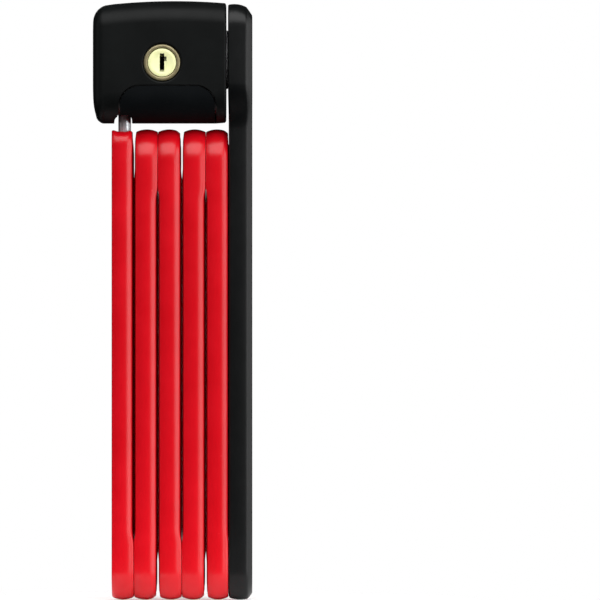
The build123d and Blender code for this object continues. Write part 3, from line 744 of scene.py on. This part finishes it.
def body_loop(x, inset, limits):
    """Rounded outline (y, z) of the body at x, moved inwards by inset."""
    left, right, bottom, top = limits
    plan = max(left + LEFT_ROUNDING - x, 0)
    rim = max(x - right + RIM, 0)
    half = HEAD_HALF - LEFT_ROUNDING + math.sqrt(max(LEFT_ROUNDING ** 2 - plan ** 2, 0)) - inset
    turned_in = RIM - math.sqrt(max(RIM ** 2 - rim ** 2, 0))
    half -= turned_in
    z0 = body_bottom(x, left, right, bottom) + inset + turned_in
    z1 = body_top(x, left, right, top) - inset - turned_in
    share = min(plan / LEFT_ROUNDING, 1)
    low_r = mix(LOW_RADIUS, LOW_RADIUS_AT_LEFT, share) - inset
    high_r = mix(HIGH_RADIUS, HIGH_RADIUS_AT_LEFT, share) - inset
    loop = []
    for centre, radius, start in (
            ((-half + low_r, z0 + low_r), low_r, 180), ((half - low_r, z0 + low_r), low_r, 270),
            ((half - high_r, z1 - high_r), high_r, 0), ((-half + high_r, z1 - high_r), high_r, 90)):
        loop += arc(centre, radius, start, start + 90, LOOP_ARC_STEPS)
    filled = []
    for i, point in enumerate(loop):
        filled.append(point)
        if i % (LOOP_ARC_STEPS + 1) == LOOP_ARC_STEPS:
            after = loop[(i + 1) % len(loop)]
            for k in range(1, LOOP_STRAIGHT_STEPS):
                way = k / LOOP_STRAIGHT_STEPS
                filled.append((mix(point[0], after[0], way), mix(point[1], after[1], way)))
    return filled


def body_solid(inset, limits):
    """Closed surface of the body, moved inwards by inset."""
    left, right = limits[0] + inset, limits[1] - inset
    places = []
    for i in range(ROUNDED_STEPS + 1):
        places.append(left + LEFT_ROUNDING * (1 - math.cos(math.radians(90 / ROUNDED_STEPS * i))))
    for i in range(1, STRAIGHT_STEPS + 1):
        places.append(left + LEFT_ROUNDING + (right - RIM - left - LEFT_ROUNDING) * i / STRAIGHT_STEPS)
    for i in range(1, RIM_STEPS + 1):
        places.append(right - RIM + RIM * math.sin(math.radians(90 / RIM_STEPS * i)))
    shape = bmesh.new()
    rings = []
    for x in places:
        outer_x = min(max(x, limits[0] + inset * 0.5), limits[1])
        rings.append([shape.verts.new((x, y, z)) for y, z in body_loop(outer_x, inset, limits)])
    for a, b in zip(rings, rings[1:]):
        bridge(shape, a, b, True)
    shape.faces.new(rings[0])
    shape.faces.new(rings[-1])
    bmesh.ops.recalc_face_normals(shape, faces=shape.faces)
    return shape


def slot_tool(x0, x1, pivot):
    """The way of the tongue, out to the rear, as a prism."""
    start = math.degrees(math.asin(SLOT_HALF / SLOT_CEILING_R))
    outline = [(SLOT_FRONT, pivot - FAR), (FAR, pivot - FAR), (FAR, pivot + SLOT_HALF)]
    outline += arc((0, pivot), SLOT_CEILING_R, start, -90, 20)
    outline += [(SLOT_FRONT, pivot - SLOT_CEILING_R)]
    return prism(outline, "x", x0, x1)


def arch_tool(x0, x1, base, top, radius, axis_start, axis_end):
    """Arched prism from front to back: flat top, round shoulders."""
    outline = [(x0, base), (x1, base)]
    outline += arc((x1 - radius, top - radius), radius, 0, 90, 10)
    outline += arc((x0 + radius, top - radius), radius, 90, 180, 10)
    return prism(outline, "y", axis_start, axis_end)


def key_tool(centre, front):
    """Hole for the cylinder, with a flared and slightly rounded mouth."""
    shape = bmesh.new()
    profile = [(front - 2, 0), (front - 2, KEY_HOLE_R + KEY_MOUTH + 2)]
    for i in range(7):
        angle = math.radians(15 * i)
        profile.append((front + KEY_MOUTH * (1 - math.cos(angle)) - 0.001,
                        KEY_HOLE_R + KEY_MOUTH * (1 - math.sin(angle))))
    profile = profile[:2] + sorted(profile[2:])
    profile += [(front + 6, KEY_HOLE_R), (front + 6, 0)]
    lathe(shape, profile, "y", (centre.x, 0, centre.z))
    return shape


def block(low, high):
    """Box between two corners."""
    outline = [(low[1], low[2]), (high[1], low[2]), (high[1], high[2]), (low[1], high[2])]
    return prism(outline, "x", low[0], high[0])


def soften(obj, width):
    """A fine rounding on every sharp edge."""
    modifier = obj.modifiers.new("soft_edges", "BEVEL")
    modifier.width = width * MM
    modifier.segments = 2
    modifier.limit_method = "ANGLE"
    modifier.angle_limit = math.radians(40)
    modifier.use_clamp_overlap = True
    even_normals(obj)


SLOT_PLACE = (7.6, 12.8)    # the tongue's slot, from the body's left side
NOTCH_WIDER = 0.9           # the notch in the foot, to the left of the slot
NOTCH_HEIGHT = 2.5
ARCH_RADIUS = 6.6
BELOW = 5                   # tools start this far under the foot
THROUGH = 20                # past the front and the rear
GROOVE_BACK = -6
INSERT_BACK = -3
INSERT_GAP = 0.05
INSERT_THINNER = 0.2
SEAM_GAP = 0.06             # on each side of the seam
UNDER_BODY = 100
OVER_BODY = 250


def body_pieces():
    """Front and rear shell, and the arched insert in the front one."""
    front_low, front_high = corners("body_front_shell")
    rear_low = corners("body_rear_shell")[0]
    limits = (front_low.x, front_high.x, front_low.z, front_high.z)
    pivot = frame_joint("body_pivot")
    key = frame_joint("key_turn")
    insert_low, insert_high = corners("body_front_insert")
    slot_x = (front_low.x + SLOT_PLACE[0], front_low.x + SLOT_PLACE[1])
    notch_x = (slot_x[0] - NOTCH_WIDER, slot_x[1])
    base = front_low.z - BELOW
    notch_top = front_low.z + NOTCH_HEIGHT
    seam = rear_low.y

    def panel(grow, depth):
        return arch_tool(insert_low.x - grow, insert_high.x + grow, base, insert_high.z + grow,
                         ARCH_RADIUS + grow, -THROUGH, depth)

    def tongue_way():
        notch = arch_tool(*notch_x, base, notch_top, NOTCH_ROUNDING, -THROUGH, THROUGH)
        return [("DIFFERENCE", slot_tool(*slot_x, pivot.z)), ("DIFFERENCE", notch)]

    def openings():
        mouth = bmesh.new()
        lathe(mouth, [(10, 0), (10, BODY_MOUTH_R), (20, BODY_MOUTH_R), (20, 0)], "x", (0, 0, pivot.z))
        return tongue_way() + [("DIFFERENCE", mouth)]

    front = combined(body_solid(0, limits), [
        ("DIFFERENCE", body_solid(WALL, limits))] + openings() + [
        ("DIFFERENCE", key_tool(key, front_low.y)),
        ("DIFFERENCE", panel(GROOVE, GROOVE_BACK)),
        ("INTERSECT", block((-FAR, -FAR, UNDER_BODY), (FAR, seam - SEAM_GAP, OVER_BODY)))])
    obj = piece("body_front", front, BLACK, "lock_body", ["body_front_shell"])
    soften(obj, 0.2)
    rear = combined(body_solid(0, limits), [
        ("DIFFERENCE", body_solid(WALL, limits))] + openings() + [
        ("INTERSECT", block((-FAR, seam + SEAM_GAP, UNDER_BODY), (FAR, FAR, OVER_BODY)))])
    obj = piece("body_rear", rear, BLACK, "lock_body", ["body_rear_shell"])
    soften(obj, 0.2)
    insert = combined(body_solid(INSERT_GAP, limits), [
        ("INTERSECT", panel(-INSERT_GAP, INSERT_BACK)),
        ("DIFFERENCE", body_solid(WALL - INSERT_THINNER, limits))] + tongue_way())
    obj = piece("body_insert", insert, BLACK_INSERT, "lock_body", ["body_front_insert"])
    soften(obj, 0.25)


# ------------------------------------------------------------------ cylinder, rivets, washer and tongue

PLUG_PLAY = 0.12
PLUG_BACK = 3.0             # where the plug steps down to its stem
STEM_R = 2.0
HOLLOW_R = 3.6              # room inside the plug, behind its face
HOLLOW_START = 2
HOLLOW_BACK = 1.4
KEYWAY_HALF = 0.75
KEYWAY_TALL = 3.0
WARD_REACH = 1.5            # side ward of the keyway: how far out, and from where to where in height
WARD_LOW = 0.45
WARD_HIGH = 1.95
# the dark walls inside the keyway are painted shade: brass walls given the dark case steel
KEYWAY_REACH = 3.7          # how far the dark walls inside the plug reach from its axis
KEYWAY_EDGE = 0.15          # the walls turn dark this far behind the face
KEYWAY_BACK = 1.5
RING_STEPS = 96
EYE_STEPS = 48
WASHER_STEPS = 128


def cylinder_pieces():
    """Barrel face and plug, the plug cut by a plain slot with one side ward."""
    key = frame_joint("key_turn")
    centre = (key.x, 0, key.z)
    barrel_low, barrel_high = corners("cylinder_barrel")
    plug_low, plug_high = corners("cylinder_plug")
    outer = (barrel_high.x - barrel_low.x) / 2
    inner = (plug_high.x - plug_low.x) / 2
    front = barrel_low.y
    barrel = bmesh.new()
    bore = inner + PLUG_PLAY
    lathe(barrel, [
        (barrel_high.y, bore), (front + 0.55, bore), (front + 0.3, bore + 0.04), (front + 0.16, bore + 0.1),
        (front + 0.05, bore + 0.16), (front, bore + 0.26), (front, outer - 0.5), (front + 0.08, outer - 0.2),
        (front + 0.3, outer), (front + 1.4, outer), (front + 1.5, outer - 0.1), (front + 1.7, outer - 0.1),
        (front + 1.8, outer), (barrel_high.y, outer), (barrel_high.y, bore)], "y", centre, RING_STEPS)
    bmesh.ops.remove_doubles(barrel, verts=barrel.verts, dist=LATHE_WELD)
    even_normals(piece("barrel_ring", barrel, BRONZE, "lock_body", ["cylinder_barrel"]))

    plug = bmesh.new()
    face = plug_low.y
    back = plug_high.y
    lathe(plug, [
        (face + 0.1, 0), (face + 0.1, inner - 1.5), (face, inner - 1.2), (face, inner - 0.16),
        (face + 0.05, inner - 0.05), (face + 0.2, inner), (PLUG_BACK, inner), (PLUG_BACK, STEM_R),
        (back, STEM_R), (back, 0)], "y", centre, RING_STEPS)
    hollow = bmesh.new()
    start = face + HOLLOW_START
    lathe(hollow, [(start, 0), (start, HOLLOW_R), (HOLLOW_BACK, HOLLOW_R), (HOLLOW_BACK, 0)], "y", centre)
    slot = [(-KEYWAY_HALF, -KEYWAY_TALL), (KEYWAY_HALF, -KEYWAY_TALL), (KEYWAY_HALF, WARD_LOW),
            (WARD_REACH, WARD_LOW), (WARD_REACH, WARD_HIGH), (KEYWAY_HALF, WARD_HIGH),
            (KEYWAY_HALF, KEYWAY_TALL), (-KEYWAY_HALF, KEYWAY_TALL)]
    way = prism([(key.x + x, key.z + z) for x, z in slot], "y", face - 1, face + 3)
    cut = combined(plug, [("DIFFERENCE", hollow), ("DIFFERENCE", way)])
    obj = piece("plug_face", cut, BRASS, "key_plug", ["cylinder_plug"])
    # the keyway's walls behind the face take the dark case steel: painted shade inside the slot
    obj.data.materials.append(CASE_STEEL_AND_KEYWAY_SHADE)
    for wall in obj.data.polygons:
        where = wall.center / MM
        off = math.hypot(where.x - key.x, where.z - key.z)
        wall.material_index = int(off < KEYWAY_REACH and face + KEYWAY_EDGE < where.y < KEYWAY_BACK)
    soften(obj, 0.12)


HEAD_LIFT = 0.5             # heads inside the stack nearly meet their neighbours
JOINT_SHANK_R = 4.0


def joint_rivets():
    """Rivets between the links: a slightly domed head with a rounded rim and a dimple, on both sides."""
    for child in range(1, 6):
        low, high = corners(f"joint_{child}{child + 1}_rivet")
        head = (high.z - low.z) / 2
        z = (high.z + low.z) / 2
        end = [(0.12, 0), (0.1, 0.9), (0, 1.5), (0.02, head - 1.6), (0.12, head - 0.8), (0.3, head - 0.3),
               (0.6, head), (1.2, head), (2.6, JOINT_SHANK_R)]
        left = low.x - (HEAD_LIFT if child > 1 else 0)
        right = high.x + (HEAD_LIFT if child < 5 else 0)
        profile = [(left + a, r) for a, r in end] + [(right - a, r) for a, r in end[::-1]]
        shape = bmesh.new()
        lathe(shape, profile, "x", (0, 0, z))
        node = f"joint_{child}{child + 1}_rivet"
        even_normals(piece(f"rivet_{child}{child + 1}", shape, STEEL, f"link_{child + 1}", [node]))
        low, high = corners(f"joint_{child}{child + 1}_washer")
        outer = (high.z - low.z) / 2
        ring = bmesh.new()
        inner = JOINT_SHANK_R
        lathe(ring, [
            (low.x, inner), (low.x, outer - 0.3), (low.x + 0.3, outer), (high.x - 0.3, outer),
            (high.x, outer - 0.3), (high.x, inner), (low.x, inner)], "x", (0, 0, (high.z + low.z) / 2))
        bmesh.ops.remove_doubles(ring, verts=ring.verts, dist=LATHE_WELD)
        node = f"joint_{child}{child + 1}_washer"
        even_normals(piece(f"washer_{child}{child + 1}", ring, WASHER_PAINTED_LIGHT, f"link_{child + 1}", [node]))


PIVOT_SHANK_R = 5.0
WASHER_RIM_R = 0.28


def pivot_pieces():
    """The large rivet that holds the body to the black link, and its washer."""
    low, high = corners("body_rivet")
    pivot = frame_joint("body_pivot")
    head = (high.z - low.z) / 2
    end = [(0.25, 0), (0.22, 1.2), (0, 1.9), (0.03, head - 2.2), (0.2, head - 1.0), (0.45, head - 0.35),
           (0.8, head), (1.6, head), (4.0, PIVOT_SHANK_R)]
    profile = [(low.x, 0), (low.x, 4.7), (low.x + 0.3, PIVOT_SHANK_R)]
    profile += [(high.x - a, r) for a, r in end[::-1]]
    shape = bmesh.new()
    lathe(shape, profile, "x", (0, 0, pivot.z))
    even_normals(piece("pivot_rivet", shape, STEEL, "lock_body", ["body_rivet"]))
    low, high = corners("body_rivet_washer")
    outer = (high.z - low.z) / 2
    middle = (low.x + high.x) / 2
    ring = bmesh.new()
    rim = arc((middle, outer - WASHER_RIM_R), WASHER_RIM_R, -180, -360, 8)
    inner = PIVOT_SHANK_R
    section = [(low.x, inner)] + rim + [(high.x, inner), (low.x, inner)]
    lathe(ring, section, "x", (0, 0, pivot.z), WASHER_STEPS)
    bmesh.ops.remove_doubles(ring, verts=ring.verts, dist=LATHE_WELD)
    even_normals(piece("pivot_washer", ring, WASHER_PAINTED_LIGHT, "lock_body", ["body_rivet_washer"]))


TONGUE_HALF_WIDTH = 4.0
TONGUE_HALF_THICK = 1.25    # of its left half; the right face is the core's
TONGUE_ROOT = 8             # how deep it starts inside the cover
TONGUE_ROUNDING = 1.85
EYE_R = 2.4
EYE_FLARE = 0.25
BAR_HALF_WIDTH = 7.8
BAR_END = 10.8              # from the top of the cover down to the middle of the bar's round end
BAR_STEPS = 24
BAR_HOLE_R = 4.1
BAR_SEAT_R = 5.9


def tongue_piece():
    """Steel bar of link 1 and its tongue, with well-rounded edges and the eye for the bolt."""
    low, high = corners("link_1_core")
    sleeve = corners("link_1_cover")[1].z
    middle = low.x + CORE_THICK / 2
    half = TONGUE_HALF_WIDTH
    eye = high.z - half
    left, right = middle - TONGUE_HALF_THICK, high.x
    root = sleeve - TONGUE_ROOT
    shape = prism([(-half, root), (half, root)] + arc((0, eye), half, 0, 180, 28), "x", left, right)
    edges = [e for e in shape.edges if abs(e.verts[0].co.x - e.verts[1].co.x) < SAME]
    bmesh.ops.bevel(shape, geom=edges, offset=TONGUE_ROUNDING, segments=8, profile=0.5, affect="EDGES")
    hole = bmesh.new()
    lathe(hole, [
        (left - 1, 0), (left - 1, EYE_R + 2 * EYE_FLARE), (left, EYE_R + EYE_FLARE), (left + 0.3, EYE_R),
        (right - 0.3, EYE_R), (right, EYE_R + EYE_FLARE), (right + 1, EYE_R + 2 * EYE_FLARE), (right + 1, 0)],
        "x", (0, 0, eye), EYE_STEPS)
    shape = combined(shape, [("DIFFERENCE", hole)])
    low_rivet = COVER_HALF_WIDTH
    bar = arc((0, sleeve - BAR_END), BAR_HALF_WIDTH, 0, 180, BAR_STEPS)
    bar += arc((0, low_rivet), BAR_HALF_WIDTH, 180, 360, BAR_STEPS)
    ends = prism(bar, "x", low.x, low.x + CORE_THICK)
    shank = bmesh.new()
    lathe(shank, [
        (low.x - 1, 0), (low.x - 1, BAR_SEAT_R), (low.x + 1, BAR_SEAT_R), (low.x + 2, BAR_HOLE_R),
        (low.x + 6, BAR_HOLE_R), (low.x + 6, 0)], "x", (0, 0, low_rivet), EYE_STEPS)
    bar_cut = combined(ends, [("DIFFERENCE", shank)])
    extra = bpy.data.meshes.new("bar")
    bar_cut.to_mesh(extra)
    shape.from_mesh(extra)
    bpy.data.meshes.remove(extra)
    bar_cut.free()
    even_normals(piece("tongue_bar", shape, TONGUE_STEEL_PAINTED_LIGHT, "link_1", ["link_1_core"]))


# ------------------------------------------------------------------ studio

CAMERA_DISTANCE = 3.0
PICTURE_HEIGHT = 0.1983     # what the picture spans at the middle of the lock's depth
PICTURE_MIDDLE = (0.0420, 0.0990)   # the lock stands left of the picture's middle
AMBIENT = 0.02
FLOOR_RADIUS = 0.25
FLOOR_FADE = (0.025, 0.11)
FLOOR_DROP = 0.0003
SENSOR_WIDTH = 36


def area_light(name, place, target, power, size, size_y=None, mirrored=True):
    """Soft light, square or size by size_y; mirrored says whether glossy faces show it."""
    data = bpy.data.lights.new(name, "AREA")
    data.energy = power
    data.size = size
    if size_y:
        data.shape = "RECTANGLE"
        data.size_y = size_y
    obj = bpy.data.objects.new(name, data)
    obj.location = place
    obj.rotation_euler = (Vector(target) - Vector(place)).to_track_quat("-Z", "Y").to_euler()
    obj.visible_glossy = mirrored
    bpy.context.scene.collection.objects.link(obj)


def studio_world():
    """White for the camera and dim for what the object reflects, so that flat faces stay deep in colour."""
    world = bpy.data.worlds.new("studio")
    world.use_nodes = True
    tree = world.node_tree
    background = tree.nodes["Background"]
    path = tree.nodes.new("ShaderNodeLightPath")
    strength = tree.nodes.new("ShaderNodeMapRange")
    strength.inputs["To Min"].default_value = AMBIENT
    strength.inputs["To Max"].default_value = 1.0
    tree.links.new(path.outputs["Is Camera Ray"], strength.inputs["Value"])
    tree.links.new(strength.outputs["Result"], background.inputs["Strength"])
    background.inputs["Color"].default_value = (1, 1, 1, 1)
    return world


def disc_floor(height):
    """Pale round floor that fades out into the white around it."""
    mesh = bpy.data.meshes.new("floor")
    shape = bmesh.new()
    bmesh.ops.create_circle(shape, cap_ends=True, segments=96, radius=FLOOR_RADIUS)
    shape.to_mesh(mesh)
    floor = bpy.data.objects.new("floor", mesh)
    floor.location.z = height
    m = Nodes("pale_floor")
    m.set(Roughness=0.9, Base_Color=(0.97, 0.97, 0.97, 1), Specular_IOR_Level=0.1)
    place = m.add("ShaderNodeTexCoord")
    length = m.tree.nodes.new("ShaderNodeVectorMath")
    length.operation = "LENGTH"
    m.link(place.outputs["Object"], length.inputs[0])
    fade = m.add("ShaderNodeMapRange")
    fade.inputs["From Min"].default_value = FLOOR_FADE[0]
    fade.inputs["From Max"].default_value = FLOOR_FADE[1]
    fade.inputs["To Min"].default_value = 1.0
    fade.inputs["To Max"].default_value = 0.0
    fade.interpolation_type = "SMOOTHSTEP"
    m.link(length.outputs["Value"], fade.inputs["Value"])
    m.link(fade.outputs["Result"], m.shader.inputs["Alpha"])
    dress(floor, m.material)
    return floor


def studio():
    low, high = [Vector(c) for c in CAD_BOX]
    middle = (low + high) / 2
    scene = bpy.context.scene
    scene.world = studio_world()
    scene.view_settings.view_transform = "Standard"
    floor = disc_floor(low.z - FLOOR_DROP)
    scene.collection.objects.link(floor)

    area_light("front_top", (-0.05, -0.75, 1.0), middle, power=19.6, size=1.5, size_y=1.2)
    area_light("front_right", (0.62, -0.95, 0.16), middle, power=1.3, size=0.14, size_y=0.6)
    area_light("right", (0.95, -0.45, 0.2), middle, power=8.0, size=0.8, size_y=1.1)
    area_light("far_right", (1.0, 0.3, 0.2), middle, power=3.5, size=0.7, size_y=1.1)
    area_light("left", (-1.0, -0.2, 0.4), middle, power=1.0, size=0.4, size_y=0.9)
    area_light("back", (0.0, 0.95, 0.9), middle, power=13.0, size=0.8, mirrored=False)

    camera = bpy.data.cameras.new("camera")
    camera.sensor_width = SENSOR_WIDTH
    camera.lens = SENSOR_WIDTH * CAMERA_DISTANCE / PICTURE_HEIGHT
    obj = bpy.data.objects.new("camera", camera)
    obj.location = (PICTURE_MIDDLE[0], middle.y - CAMERA_DISTANCE, PICTURE_MIDDLE[1])
    obj.rotation_euler = (math.radians(90), 0, 0)
    scene.collection.objects.link(obj)
    scene.camera = obj


dress_cad_nodes()
for link_number in range(1, 6):
    red_link(link_number)
black_link()
body_pieces()
cylinder_pieces()
joint_rivets()
pivot_pieces()
tongue_piece()
studio()
